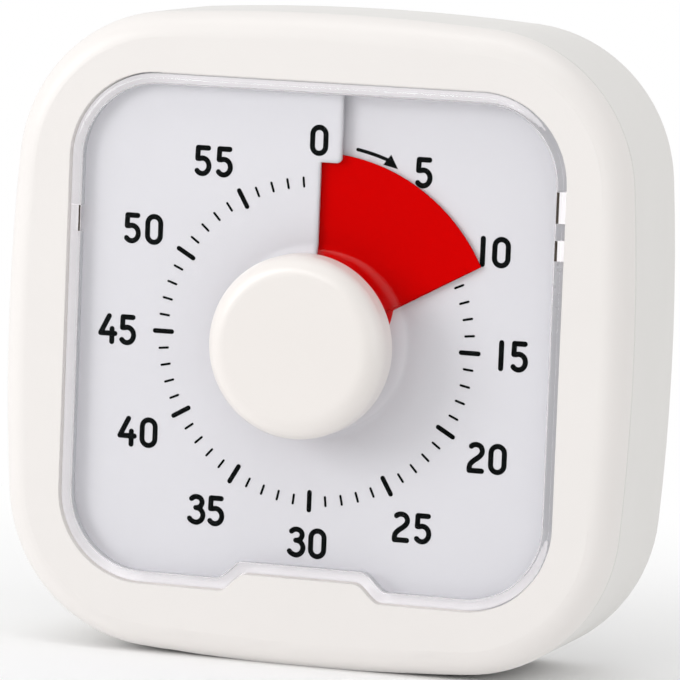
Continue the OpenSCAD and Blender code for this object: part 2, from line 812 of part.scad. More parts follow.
module sound_board() {
    color("#2c7a3f") face() translate([0, board_up, board_h - board_t]) linear_extrude(board_t)
        difference() {
            square([board_w, 2 * board_half_h], center = true);
            for (x = [-1, 1]) translate([x * board_post_x, 0]) circle(r = pin_r + 0.1);
        }
}

module buzzer() {
    color("#26282b") face() translate([sound_x, board_up]) difference() {
        rod(buzzer_r, back_in + 0.3, board_h - board_t);
        rod(1, back_in - 1, back_in + 1.8);
    }
}

module switch_body() {
    color("#26282b") face() translate([switch_x, board_up, back_in + 1.4]) difference() {
        translate([-switch_w / 2, -switch_half_h, 0])
            cube([switch_w, 2 * switch_half_h, board_h - board_t - back_in - 1.4]);
        translate([-slider_travel / 2 - lever_half, -lever_half, -1])
            cube([slider_travel + 2 * lever_half, 2 * lever_half, 2.5]);
    }
}

module volume_slider() {
    color("#26282b") face() translate([switch_x - slider_travel / 2, board_up, 0]) {
        translate([-1, -1, back_in + 1]) cube([2, 2, 1.7]);
        translate([-lever_half, -lever_half, -shell_depth - 0.4])
            cube([2 * lever_half, 2 * lever_half, wall + 1.4 + eps]);
        for (x = [-0.9, -0.2, 0.5]) translate([x, -lever_half, -shell_depth - 0.7])
            cube([0.4, 2 * lever_half, 0.3 + eps]);
    }
}

front_bezel();
lens();
dial_plate();
red_disc();
disc_hub();
hub_ring();
knob();
spindle();
retaining_clip();
chassis_plate();
movement_front();
movement_rear();
spindle_nut();
spindle_gear();
friction_spring();
third_wheel();
rotor_pinion();
rotor_magnet();
stator();
coil_bobbin();
coil_winding();
circuit_board();
crystal();
rear_shell();
case_screws();
battery();
contact_spring();
contact_plate();
battery_door();
sound_board();
buzzer();
switch_body();
volume_slider();
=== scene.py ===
import math

import bmesh
import bpy
from mathutils import Matrix, Vector
from mathutils.geometry import delaunay_2d_cdt


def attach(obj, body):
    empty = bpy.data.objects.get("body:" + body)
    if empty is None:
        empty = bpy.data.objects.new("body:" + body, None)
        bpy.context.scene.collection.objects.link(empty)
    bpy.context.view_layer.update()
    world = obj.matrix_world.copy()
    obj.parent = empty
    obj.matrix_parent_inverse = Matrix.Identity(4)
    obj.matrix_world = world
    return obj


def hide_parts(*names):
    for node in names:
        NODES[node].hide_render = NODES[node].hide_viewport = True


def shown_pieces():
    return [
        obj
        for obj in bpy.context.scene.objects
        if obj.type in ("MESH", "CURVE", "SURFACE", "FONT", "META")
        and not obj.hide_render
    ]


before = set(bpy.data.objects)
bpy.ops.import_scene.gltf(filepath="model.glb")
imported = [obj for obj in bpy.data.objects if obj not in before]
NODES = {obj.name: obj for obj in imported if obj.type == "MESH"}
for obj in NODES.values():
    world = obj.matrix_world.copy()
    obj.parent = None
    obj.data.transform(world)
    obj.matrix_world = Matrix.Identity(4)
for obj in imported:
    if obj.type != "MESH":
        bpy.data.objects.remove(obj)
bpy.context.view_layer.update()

MM = 0.001
# The dial's centre in the object's frame, in metres
DIAL_CENTRE = Vector((0.0, -0.011, 0.0423))

# Sizes of the spiral dial that the printing follows: rise in one turn, height of the sheet's
# middle at the low side of the slit, and thickness
PITCH, DIAL_MIDDLE, DIAL_THICK = 1.4, -0.7, 0.5
# Tab over the slit at 0: width, lower end, and how much more of the print lies level there
TAB_WIDTH, TAB_FOOT, TAB_MARGIN = 2.8, 23.4, 0.5
# Heights of the ink's top and of its underside over the dial's face
INK_TOP, INK_UNDER = 0.03, 0.002

# Sizes of the window moulding: width, height, corner radius and how far up its middle is
WINDOW = (67.0, 66.6, 11.5, 0.4)
# Step in its lower edge: width along the top, width of each slope, height
STEP = (14.8, 3.7, 2.4)
# Heights of its back and front, thickness of its plate, side wall and flange, and how far the
# flange stands out
LENS_BACK, LENS_FRONT, LENS_THICK = 1.1, 3.6, 1.0
LENS_WALL, FLANGE_DEEP, LENS_FLANGE = 1.3, 0.6, 1.2
# Hole for the knob
LENS_HOLE_R = 10.8
# Gaps for the bezel's snap hooks: side, lowest and highest point; and the roof of every gap
HOOKS = ((-1, 12.5, 15.9), (1, 12.8, 15.4), (1, 17.6, 21.6))
HOOK_ROOF = 2.3
# Width of the wall's strip that carries painted shade at each gap, and the roundings of the
# window's edges
SLOT_WIDE = 0.25
OUTER_ROUND, INNER_ROUND, HOLE_BEVEL = 0.9, 0.25, 0.1
# Length over which the wall steps down to a gap, and the longest piece of a straight edge
NICK, EDGE_PIECE = 0.05, 3.0
# Facets of each corner, of each slope of the step and of the outer rounding
CORNER_FACETS, SLOPE_FACETS, ROUND_FACETS = 20, 10, 8


# ---- drawing ----

def place(x, y, h):
    """Point of the flat drawing in the object's frame, in metres."""
    return DIAL_CENTRE + Vector((x, -h, y)) * MM


def clockwise(x, y):
    """Angle from straight up, clockwise, in turns."""
    return (math.atan2(x, y) / math.tau) % 1.0


def at_angle(radius, degrees):
    """Point at a radius and an angle clockwise from straight up."""
    turn = math.radians(degrees)
    return Vector((radius * math.sin(turn), radius * math.cos(turn)))


def dial_face(x, y):
    """Height of the dial's front face. The tab over the slit is level with the high side."""
    turn = clockwise(x, y)
    if 0 <= x <= TAB_WIDTH and y >= TAB_FOOT - TAB_MARGIN:
        turn = 1.0
    return DIAL_MIDDLE + DIAL_THICK / 2 + PITCH * turn


def arc(centre, radii, start, end, steps=18):
    """Points on an ellipse, from one angle to another in degrees."""
    turns = [math.radians(start + (end - start) * i / steps) for i in range(steps + 1)]
    return [Vector((centre[0] + radii[0] * math.cos(t), centre[1] + radii[1] * math.sin(t)))
            for t in turns]


def flowing(points, steps=6):
    """Smooth line through the given points."""
    knots = [Vector(p) for p in points]
    knots = [2 * knots[0] - knots[1]] + knots + [2 * knots[-1] - knots[-2]]
    line = []
    for a, b, c, d in zip(knots, knots[1:], knots[2:], knots[3:]):
        for i in range(steps):
            t = i / steps
            line.append(0.5 * (2 * b + (c - a) * t + (2 * a - 5 * b + 4 * c - d) * t * t
                               + (3 * b - a - 3 * c + d) * t ** 3))
    return line + [knots[-2]]


def stroke(path, width, cap_steps=8):
    """Outline of a pen stroke with round ends."""
    path = [Vector(p) for p in path]
    half = width / 2
    sides = []
    for i, p in enumerate(path):
        along = (path[min(i + 1, len(path) - 1)] - path[max(i - 1, 0)]).normalized()
        sides.append(Vector((-along.y, along.x)) * half)

    def cap(point, side):
        start = math.atan2(side.y, side.x)
        return [point + Vector((math.cos(start + math.pi * i / cap_steps),
                                math.sin(start + math.pi * i / cap_steps))) * half
                for i in range(1, cap_steps)]

    right = [p - s for p, s in zip(path, sides)]
    left = [p + s for p, s in zip(path, sides)]
    return right + cap(path[-1], -sides[-1]) + left[::-1] + cap(path[0], sides[0])


def joined(outlines):
    """One set of triangles that covers all the outlines, with no face twice."""
    points, loops = [], []
    for outline in outlines:
        loops.append(list(range(len(points), len(points) + len(outline))))
        points += outline
    spots, _, tris, _, _, sources = delaunay_2d_cdt(points, [], loops, 1, 1e-5)
    return spots, [tri for tri, source in zip(tris, sources) if source]


def new_piece(name, mesh, material, body):
    """A visible piece that moves with one of the bodies."""
    obj = bpy.data.objects.new(name, mesh)
    bpy.context.scene.collection.objects.link(obj)
    mesh.materials.append(material)
    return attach(obj, body)


def printed(name, groups):
    """Thin layer of ink on the dial, from groups of outlines."""
    verts, faces = [], []
    for outlines in groups:
        flat, tris = joined(outlines)
        used = {}
        for tri in tris:
            for i in tri:
                used.setdefault(i, len(used))
        first, count = len(verts), len(used)
        for lift in (INK_TOP, INK_UNDER):
            verts += [place(*flat[i], dial_face(*flat[i]) + lift) for i in used]
        edges = {}
        for tri in tris:
            loop = [first + used[i] for i in tri]
            faces.append(loop)
            faces.append([i + count for i in reversed(loop)])
            for a, b in zip(loop, loop[1:] + loop[:1]):
                edges[(a, b)] = True
        faces += [[b, a, a + count, b + count] for a, b in edges if (b, a) not in edges]
    mesh = bpy.data.meshes.new(name)
    mesh.from_pydata(verts, [], faces)
    mesh.validate()
    new_piece(name, mesh, ink, "case")


# ---- materials ----

def linear(hex_colour):
    """sRGB hex to the linear colour that a shader takes."""
    parts = [int(hex_colour[i:i + 2], 16) / 255 for i in (0, 2, 4)]
    return [c / 12.92 if c <= 0.04045 else ((c + 0.055) / 1.055) ** 2.4 for c in parts] + [1.0]


def add(tree, kind, sockets=None, **settings):
    """Adds a node with its settings. A socket takes a value, or the output that feeds it."""
    node = tree.nodes.new("ShaderNode" + kind)
    for key, value in settings.items():
        setattr(node, key, value)
    for key, value in (sockets or {}).items():
        if isinstance(value, bpy.types.NodeSocket):
            tree.links.new(value, node.inputs[key])
        else:
            node.inputs[key].default_value = value
    return node


def start(name):
    """A new material, its empty tree and the object's own coordinates."""
    material = bpy.data.materials.new(name)
    material.use_nodes = True
    tree = material.node_tree
    tree.nodes.clear()
    return material, tree, add(tree, "TexCoord").outputs["Object"]


def tint(tree, where, size_mm, one, other, detail=2.0):
    """Colour that wanders between two shades, in clouds about size_mm across."""
    clouds = add(tree, "TexNoise", {"Vector": where, "Scale": 1 / (size_mm * MM),
                 "Detail": detail})
    return add(tree, "Mix", {0: clouds.outputs["Fac"], 6: linear(one), 7: linear(other)},
               data_type="RGBA").outputs[2]


def patches(tree, where, size_mm, low, high, detail=2.0, fineness=0.5):
    """Roughness that wanders from low to high, in patches about size_mm across. The pattern
    mostly lies between 0.3 and 0.7."""
    spots = add(tree, "TexNoise", {"Vector": where, "Scale": 1 / (size_mm * MM),
                "Detail": detail, "Roughness": fineness})
    return add(tree, "MapRange", {"Value": spots.outputs["Fac"], "From Min": 0.3,
               "From Max": 0.7, "To Min": low, "To Max": high}).outputs["Result"]


def grain(tree, where, size_mm, depth_mm, detail=2.0, fineness=0.5):
    """Surface with bumps about size_mm across and depth_mm deep."""
    bumps = add(tree, "TexNoise", {"Vector": where, "Scale": 1 / (size_mm * MM),
                "Detail": detail, "Roughness": fineness})
    return add(tree, "Bump", {"Height": bumps.outputs["Fac"], "Strength": 1.0,
               "Distance": depth_mm * MM}).outputs["Normal"]


def shade(tree, sockets):
    """Makes one Principled shader the whole material."""
    shader = add(tree, "BsdfPrincipled", sockets)
    add(tree, "OutputMaterial", {"Surface": shader.outputs["BSDF"]})


# Clouds of colour and handled patches on the moulded pieces, in mm across
CLOUD_MM, HANDLED_MM = 14.0, 8.4


def moulded(name, one, other, roughness, ior, grain_mm, depth_mm, more=None, edge_mm=0.0):
    """Moulded plastic: nearly even colour, a fine spark-eroded grain and patches a little
    glossier where it has been handled. Its edges are rounded by edge_mm, as a mould leaves them."""
    material, tree, where = start(name)
    surface = grain(tree, where, grain_mm, depth_mm, 1.0)
    if edge_mm:
        eased = add(tree, "Bevel", {"Radius": edge_mm * MM}, samples=4)
        tree.links.new(eased.outputs["Normal"], surface.node.inputs["Normal"])
    shade(tree, {
        "Base Color": tint(tree, where, CLOUD_MM, one, other, 3.0), "IOR": ior, "Normal": surface,
        "Roughness": patches(tree, where, HANDLED_MM, roughness - 0.04, roughness + 0.04, 4.0,
                             0.6), **(more or {})})
    return material


def metal(name, one, other, roughness, line_mm, depth_mm, along):
    """Metal with the fine lines that drawing, turning or stamping leaves."""
    material, tree, where = start(name)
    lines = add(tree, "Mapping", {"Vector": where, "Scale": along}).outputs["Vector"]
    shade(tree, {
        "Metallic": 1.0, "Base Color": tint(tree, where, 3.0, one, other),
        "Roughness": patches(tree, lines, line_mm, roughness - 0.07, roughness + 0.07, 3.0, 0.6),
        "Normal": grain(tree, lines, line_mm, depth_mm, 3.0, 0.6)})
    return material


# ABS, moulded in a finely spark-eroded tool: warm white, satin, a soft broad highlight.
bezel_abs = moulded("satin_abs_front", "EBE7E4", "E8E4E1", 0.36, 1.53, 0.35, 0.0015,
                    edge_mm=0.22)
# The same ABS in the knob, from a smoother tool.
knob_abs = moulded("satin_abs_knob", "EAE5E1", "E9E4E0", 0.34, 1.53, 0.5, 0.0003)
# The same ABS in the rear half, a little greyer and with a coarser grain.
shell_abs = moulded("grained_abs_rear", "E8E6E3", "E4E2DF", 0.5, 1.53, 0.45, 0.004, edge_mm=0.22)
# High-impact polystyrene sheet: cool pale grey, flat and even, with a soft edge at the slit.
dial_ps = moulded("smooth_polystyrene_dial", "E2E1E6", "E0DFE4", 0.5, 1.59, 0.5, 0.0006,
                  edge_mm=0.9)
# Polypropylene film, calendered: saturated red. The window above it takes the shine, so the film
# has none of its own.
disc_pp = moulded("red_polypropylene_disc", "D40000", "CE0000", 0.33, 1.5, 0.6, 0.0003,
                  {"Specular IOR Level": 0.0})
# The same plastic, moulded, in the disc's hub and ring.
hub_pp = moulded("red_moulded_hub", "D00000", "C80000", 0.33, 1.5, 0.6, 0.0003,
                 {"Specular IOR Level": 0.0})
# Filled ABS of the chassis: plain cool grey, matt, with a coarse grain.
chassis_abs = moulded("plain_abs_chassis", "CDD0D3", "C3C6CA", 0.55, 1.53, 0.5, 0.006)
# Carbon-filled ABS of the movement, the switch and the buzzer: dark grey, faintly shiny.
dark_abs = moulded("carbon_filled_abs", "33363A", "2B2E32", 0.45, 1.53, 0.4, 0.005)
# Acetal of the gears: creamy, waxy, slightly translucent.
acetal = moulded("cream_acetal_gears", "EBE6D8", "E4DFD0", 0.35, 1.48, 0.5, 0.002,
                 {"Subsurface Weight": 0.15, "Subsurface Scale": 0.0006})
# Glass-filled nylon of the coil's bobbin: green and dry.
bobbin_nylon = moulded("filled_nylon_bobbin", "33754F", "2C6A46", 0.5, 1.53, 0.35, 0.006)
# Ferrite-filled plastic magnet: dark, matt, granular.
magnet_ferrite = moulded("bonded_ferrite_magnet", "4E5154", "434649", 0.6, 1.6, 0.2, 0.01)
# Stamped and drawn steel, zinc plated: blue-grey with fine lines across.
steel = metal("zinc_plated_steel", "A9ADB2", "979BA1", 0.32, 0.25, 0.003, (1, 1, 6))
# Turned brass of the nut.
brass = metal("turned_brass", "C9A85C", "BE9B50", 0.28, 0.2, 0.003, (1, 8, 1))
# Painted shade inside the narrow slots at the snap hooks: dark brown on the polystyrene, where no
# light gets in.
painted_slot_shade = moulded("painted_shade_polystyrene_slots", "4A3B2E", "3A3026", 0.5, 1.5, 0.4, 0.002)
# Screen-printed ink: black, dense and nearly without shine under the window.
ink = moulded("screen_printed_black_ink", "060A0A", "090D0D", 0.5, 1.5, 0.4, 0.001,
              {"Specular IOR Level": 0.05})


def passing_light(tree):
    """1 on shadow rays and on light that a matt face has scattered: these pass a clear piece
    straight, which keeps the dial under it evenly lit."""
    path = add(tree, "LightPath").outputs
    scattered = add(tree, "Math", {0: path["Diffuse Depth"], 1: 0.5}, operation="GREATER_THAN")
    return add(tree, "Math", {0: path["Is Shadow Ray"], 1: scattered.outputs[0]},
               operation="MAXIMUM").outputs[0]


def pass_straight(tree, which, colour, solid):
    """Lets some of the light straight through in a colour. All other light meets the solid."""
    passing = add(tree, "BsdfTransparent", {"Color": linear(colour)})
    both = add(tree, "MixShader", {0: which, 1: solid.outputs[0], 2: passing.outputs[0]})
    add(tree, "OutputMaterial", {"Surface": both.outputs[0]})


def clear_moulding():
    """Clear polystyrene moulding: bright, with dark and light lines only at its edges."""
    material, tree, where = start("clear_polystyrene_window")
    clear = add(tree, "BsdfPrincipled", {
        "Base Color": linear("FFFFFF"), "IOR": 1.46, "Transmission Weight": 1.0,
        "Roughness": 0.03, "Normal": grain(tree, where, 9.0, 0.002, 1.0)})
    pass_straight(tree, passing_light(tree), "FFFFFF", clear)
    return material


def satin_clear_wall(name, painted_glow):
    """The same polystyrene where the mould is satin, on the window's side wall. Its glow is painted
    light: an emission stands in for the light that the plate pipes into it."""
    material, tree, where = start(name)
    satin = add(tree, "BsdfPrincipled", {
        "Base Color": linear("F8F5F7"), "IOR": 1.5, "Transmission Weight": 0.12,
        "Roughness": 0.25, "Emission Color": (1, 1, 1, 1), "Emission Strength": painted_glow,
        "Normal": grain(tree, where, 0.5, 0.004)})
    pass_straight(tree, add(tree, "LightPath").outputs["Is Shadow Ray"], "F3F0F2", satin)
    return material


# Distance from turn to turn in mm, wider than the real wire's so that the turns show
WIRE_PITCH = 0.3


def wound_wire():
    """Enamelled copper wire in close turns. The pattern's bands lie 0.31 apart at scale 1."""
    material, tree, where = start("enamelled_copper_winding")
    turns = add(tree, "TexWave", {"Vector": where, "Distortion": 0.6,
                "Scale": 1 / (WIRE_PITCH * MM) / math.tau * 2},
                wave_type="BANDS", bands_direction="Z").outputs["Fac"]
    copper = add(tree, "Mix", {0: turns, 6: linear("8A3D18"), 7: linear("D07B3C")},
                 data_type="RGBA")
    ridges = add(tree, "Bump", {"Height": turns, "Strength": 1.0, "Distance": 0.08 * MM})
    shade(tree, {
        "Metallic": 1.0, "Coat Weight": 0.5, "Coat Roughness": 0.15,
        "Base Color": copper.outputs[2], "Normal": ridges.outputs["Normal"],
        "Roughness": patches(tree, where, 1.0, 0.25, 0.4)})
    return material


def circuit_laminate():
    """Glass-cloth laminate under green solder resist: the weave shows as a fine net, with
    meshes of 0.6 by 0.3 mm."""
    material, tree, where = start("green_laminate_board")
    weave = add(tree, "TexBrick", {
        "Vector": where, "Scale": 1 / (1.2 * MM), "Mortar Size": 0.03,
        "Color1": linear("2C7A3F"), "Color2": linear("2F8244"), "Mortar": linear("246A35")})
    shade(tree, {
        "IOR": 1.55, "Coat Weight": 0.4, "Coat Roughness": 0.1,
        "Base Color": weave.outputs["Color"], "Roughness": patches(tree, where, 2.0, 0.3, 0.4),
        "Normal": grain(tree, where, 0.4, 0.004)})
    return material


# Ends of the cell along x in mm, and the shares of its length where the sleeve and the pale band
# on it start and end
CELL_ENDS = (-24.3, 26.2)
SLEEVE, PALE_BAND = (0.014, 0.965), (0.70, 0.76)


def cell_sleeve():
    """Printed PVC sleeve of the battery with a pale band, bare steel at both ends."""
    material, tree, where = start("printed_pvc_cell_sleeve")
    along = add(tree, "SeparateXYZ", {"Vector": where}).outputs["X"]
    share = add(tree, "MapRange", {"Value": along, "From Min": CELL_ENDS[0] * MM,
                "From Max": CELL_ENDS[1] * MM}).outputs["Result"]
    bands = add(tree, "ValToRGB", {"Fac": share})
    bands.color_ramp.interpolation = "CONSTANT"
    bare, blue, pale = "A9ADB2", "2F5F96", "D8DCE0"
    for spot, colour in ((0.0, bare), (SLEEVE[0], blue), (PALE_BAND[0], pale),
                         (PALE_BAND[1], blue), (SLEEVE[1], bare)):
        stop = bands.color_ramp.elements.new(spot) if spot else bands.color_ramp.elements[0]
        stop.color = linear(colour)
    # The white stop that every new ramp has at its end
    bands.color_ramp.elements.remove(bands.color_ramp.elements[-1])
    head = add(tree, "Math", {0: share, 1: SLEEVE[1]}, operation="GREATER_THAN")
    foot = add(tree, "Math", {0: share, 1: SLEEVE[0]}, operation="LESS_THAN")
    steel_end = add(tree, "Math", {0: head.outputs[0], 1: foot.outputs[0]}, operation="ADD")
    shade(tree, {
        "Coat Weight": 0.3, "Coat Roughness": 0.1, "Base Color": bands.outputs["Color"],
        "Metallic": steel_end.outputs[0], "Roughness": patches(tree, where, 3.0, 0.22, 0.32),
        "Normal": grain(tree, where, 1.5, 0.004)})
    return material


clear_ps = clear_moulding()
# The wall's glow and the faint glow of the gaps' roofs are painted light, given as emission
# strengths.
clear_edge = satin_clear_wall("satin_clear_polystyrene_wall", 0.13)
clear_roof = satin_clear_wall("satin_clear_polystyrene_gap", 0.02)
# The wall's inner face, a painted reflection: pale grey stands in for the light that meets it at a
# low angle and is turned back.
painted_inner_reflection = moulded("painted_reflection_inner_face", "C6C8CB", "C0C2C5", 0.3, 1.5, 0.5, 0.001)
copper_wire = wound_wire()
laminate = circuit_laminate()
cell_pvc = cell_sleeve()

FINISHES = {
    "front_bezel": bezel_abs, "rear_shell": shell_abs, "battery_door": shell_abs,
    "lens": clear_ps, "dial_plate": dial_ps, "red_disc": disc_pp, "disc_hub": hub_pp,
    "hub_ring": hub_pp, "knob": knob_abs, "spindle": steel, "retaining_clip": steel,
    "friction_spring": steel, "case_screws": steel, "stator": steel, "contact_spring": steel,
    "contact_plate": steel, "crystal": steel, "chassis_plate": chassis_abs,
    "movement_front": dark_abs, "movement_rear": dark_abs, "switch_body": dark_abs,
    "buzzer": dark_abs, "volume_slider": dark_abs, "spindle_nut": brass, "spindle_gear": acetal,
    "third_wheel": acetal, "rotor_pinion": acetal, "rotor_magnet": magnet_ferrite,
    "coil_bobbin": bobbin_nylon, "coil_winding": copper_wire, "circuit_board": laminate,
    "sound_board": laminate, "battery": cell_pvc,
}
for node_name, finish in FINISHES.items():
    NODES[node_name].data.materials.clear()
    NODES[node_name].data.materials.append(finish)


# ---- window moulding ----

def outline_corners(grow):
    """Points round the window, grown by a distance: x, y, whether the flange stands there, and
    how low the wall reaches. The points stay in step from one growth to the next."""
    width, height, corner, up = WINDOW
    top_w, slope, step = STEP
    half_w, half_h, round_r = width / 2 + grow, height / 2 + grow, corner + grow
    flat_x, flat_y = width / 2 - corner, height / 2 - corner

    def corner_arc(x, y, angle):
        return [(p.x, p.y, False, LENS_BACK)
                for p in arc((x, y + up), (round_r, round_r), angle, angle + 90,
                             CORNER_FACETS)]

    def side(which):
        spots = [(up - flat_y + NICK, True, LENS_BACK)]
        for hook, low, high in HOOKS:
            if hook == which:
                spots += [(low - NICK, True, LENS_BACK), (low, False, HOOK_ROOF),
                          (high, False, HOOK_ROOF), (high + NICK, True, LENS_BACK)]
        spots.append((up + flat_y - NICK, True, LENS_BACK))
        return [(which * half_w, *spot) for spot in spots]

    rise = [i / SLOPE_FACETS for i in range(SLOPE_FACETS + 1)]
    ramp = [(top_w / 2 - grow / 2 + slope * (1 - t),
             up - half_h + step * (1 - math.cos(math.pi * t)) / 2) for t in rise]
    bottom = [(NICK - flat_x, up - half_h)] + [(-x, y) for x, y in ramp] + ramp[::-1]
    bottom.append((flat_x - NICK, up - half_h))
    top = [(flat_x - NICK, up + half_h), (NICK - flat_x, up + half_h)]
    return ([(x, y, True, LENS_BACK) for x, y in bottom] + corner_arc(flat_x, -flat_y, -90)
            + side(1) + corner_arc(flat_x, flat_y, 0)
            + [(x, y, True, LENS_BACK) for x, y in top] + corner_arc(-flat_x, flat_y, 90)
            + side(-1)[::-1] + corner_arc(-flat_x, -flat_y, 180))


def window_outline(grow):
    """The same outline with more points on its long edges, so that the hole comes out round."""
    spots, plain, points = outline_corners(grow), outline_corners(0), []
    for i, a in enumerate(spots):
        j = (i + 1) % len(spots)
        b, steps = spots[j], 1 + int(math.dist(plain[i][:2], plain[j][:2]) / EDGE_PIECE)
        points += [(a[0] + (b[0] - a[0]) * t / steps, a[1] + (b[1] - a[1]) * t / steps, *a[2:])
                   for t in range(steps)]
    return points


# The window's finishes, in the order of its material slots
PLATE, WALL, PAINTED_SHADE, ROOF, PAINTED_REFLECTION = range(5)


def window_moulding():
    """The clear window: a plate with a wall round it, a rounded outer edge and a flange. It is
    made of rings, from the flange over the edge to the hole and back inside to the wall."""
    plain, flanged = window_outline(0), window_outline(LENS_FLANGE)

    def flange_ring(lift):
        return [place(*(f if f[2] else p)[:2], p[3] + lift) for p, f in zip(plain, flanged)]

    def ring(grow, h=None, lift=0.0):
        return [place(p[0], p[1], p[3] + lift if h is None else h) for p in window_outline(grow)]

    def hole(h, grow=0.0):
        return [place(*(Vector(p[:2]).normalized() * (LENS_HOLE_R + grow)), h) for p in plain]

    turns = [math.radians(90 * i / ROUND_FACETS) for i in range(ROUND_FACETS + 1)]
    rings = [flange_ring(0), flange_ring(FLANGE_DEEP), ring(0, lift=FLANGE_DEEP)]
    rings += [ring(-OUTER_ROUND * (1 - math.cos(t)), LENS_FRONT - OUTER_ROUND * (1 - math.sin(t)))
              for t in turns]
    rings += [hole(LENS_FRONT, HOLE_BEVEL), hole(LENS_FRONT - HOLE_BEVEL),
              hole(LENS_FRONT - LENS_THICK)]
    rings += [ring(-LENS_WALL - INNER_ROUND * (1 - math.sin(t)),
                   LENS_FRONT - LENS_THICK - INNER_ROUND * (1 - math.cos(t)))
              for t in turns[::2]]
    rings += [ring(-LENS_WALL), ring(-LENS_WALL + SLOT_WIDE)]
    sheet = bmesh.new()
    made = [[sheet.verts.new(p) for p in points] for points in rings]
    inner = len(made) - 3
    for k, (one, other) in enumerate(zip(made, made[1:] + made[:1])):
        for i in range(len(one)):
            j = (i + 1) % len(one)
            face = sheet.faces.new((one[i], one[j], other[j], other[i]))
            # The first three bands are the flange and the wall's outside. The last three are the
            # wall's inside, grey with a painted reflection, the strip next to it, dark with painted
            # shade at the gaps, and the underside.
            in_gap = plain[i][3] == HOOK_ROOF == plain[j][3]
            finish = {inner: PAINTED_REFLECTION, inner + 1: PAINTED_SHADE if in_gap else WALL,
                      inner + 2: ROOF if in_gap else WALL}
            face.material_index = finish.get(k, WALL if k < 3 else PLATE)
    bmesh.ops.recalc_face_normals(sheet, faces=sheet.faces)
    mesh = bpy.data.meshes.new("window_moulding")
    sheet.to_mesh(mesh)
    sheet.free()
    window = new_piece("window_moulding", mesh, clear_ps, "case")
    for other in (clear_edge, painted_slot_shade, clear_roof, painted_inner_reflection):
        mesh.materials.append(other)
    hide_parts("lens")
    return window


window = window_moulding()


# ---- red disc ----

DISC_THICK, DISC_IN_R, DISC_R = 0.3, 6.2, 24.6
# The disc is flat outside one radius and rises like a cone inside it, up to another.
CONE_TOP_R, CONE_R, CONE_SLOPE = 8.9, 12.7, 0.35
# How far the cone is eased in beyond both radii, and how much its foot draws in at the edge
EASE, FOOT_IN, EASE_LENGTH = 0.5, 0.6, 1.0
# How far the red shows, how far the disc reaches beyond it, and how it narrows there
SHOWN, LIP, LIP_START_R, LIP_END_R = 63.0, 16.0, 11.7, 9.9
# Facets of the disc: degrees of each, facets in the lip, and facets from the hub to the rim
FACET, LIP_FACETS, ACROSS = 2.5, 8, 40


def cone_height(radius, angle):
    """Rise of the disc towards the hub: straight flanks, eased in at the foot and at the top.
    The foot draws in a little towards the edge that shows the time."""
    near_edge = max(0.0, min(1.0, angle / SHOWN)) ** 2
    foot, top = CONE_R + EASE - FOOT_IN * near_edge, CONE_TOP_R - EASE
    if radius >= foot:
        return 0.0
    height, at, step = 0.0, foot, 0.05
    while at > max(radius, top):
        share = min(1.0, (foot - at) / EASE_LENGTH, max(0.0, at - top) / EASE_LENGTH)
        height += CONE_SLOPE * share * step
        at -= step
    return height


def red_disc():
    """The disc as one spiral sheet, with rows of points from hub to rim."""
    angles = [SHOWN - 360 + FACET * i for i in range(round(360 / FACET))] + [SHOWN]
    angles += [SHOWN + LIP * (i + 1) / LIP_FACETS for i in range(LIP_FACETS)]
    sheet = bmesh.new()
    rows = []
    for angle in angles:
        rim = DISC_R
        if angle > SHOWN:
            rim = LIP_START_R + (LIP_END_R - LIP_START_R) * (angle - SHOWN) / LIP
        row = []
        for radius in [DISC_IN_R + (rim - DISC_IN_R) * i / ACROSS for i in range(ACROSS + 1)]:
            spot = at_angle(radius, angle)
            height = PITCH * angle / 360 + cone_height(radius, angle)
            row.append((place(spot.x, spot.y, height + DISC_THICK / 2),
                        place(spot.x, spot.y, height - DISC_THICK / 2)))
        rows.append(([sheet.verts.new(a) for a, b in row], [sheet.verts.new(b) for a, b in row]))
    for (top, low), (next_top, next_low) in zip(rows, rows[1:]):
        for i in range(ACROSS):
            sheet.faces.new((top[i], top[i + 1], next_top[i + 1], next_top[i]))
            sheet.faces.new((low[i + 1], low[i], next_low[i], next_low[i + 1]))
        sheet.faces.new((top[0], next_top[0], next_low[0], low[0]))
        sheet.faces.new((next_top[-1], top[-1], low[-1], next_low[-1]))
    for (top, low), turned in ((rows[0], False), (rows[-1], True)):
        for i in range(ACROSS):
            loop = (top[i], low[i], low[i + 1], top[i + 1])
            sheet.faces.new(loop[::-1] if turned else loop)
    bmesh.ops.recalc_face_normals(sheet, faces=sheet.faces)
    mesh = bpy.data.meshes.new("spiral_disc")
    sheet.to_mesh(mesh)
    sheet.free()
    disc = new_piece("spiral_disc", mesh, disc_pp, "turning_disc")
    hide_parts("red_disc")


red_disc()


# ---- dial printing ----

TICK_R = 20.8
STROKE = 0.69
# Length and width of the marks at every fifth minute and at the minutes between
LONG_TICK, SHORT_TICK = (2.95, 0.62), (1.45, 0.3)
# Arrow: radius, start, end and width of its curved shaft, and half the width and tip of its head
ARROW_R, ARROW_FROM, ARROW_TO, ARROW_WIDTH = 25.65, 10.2, 19.5, 0.46
HEAD_HALF, HEAD_TIP = 0.85, (10.07, 23.04)
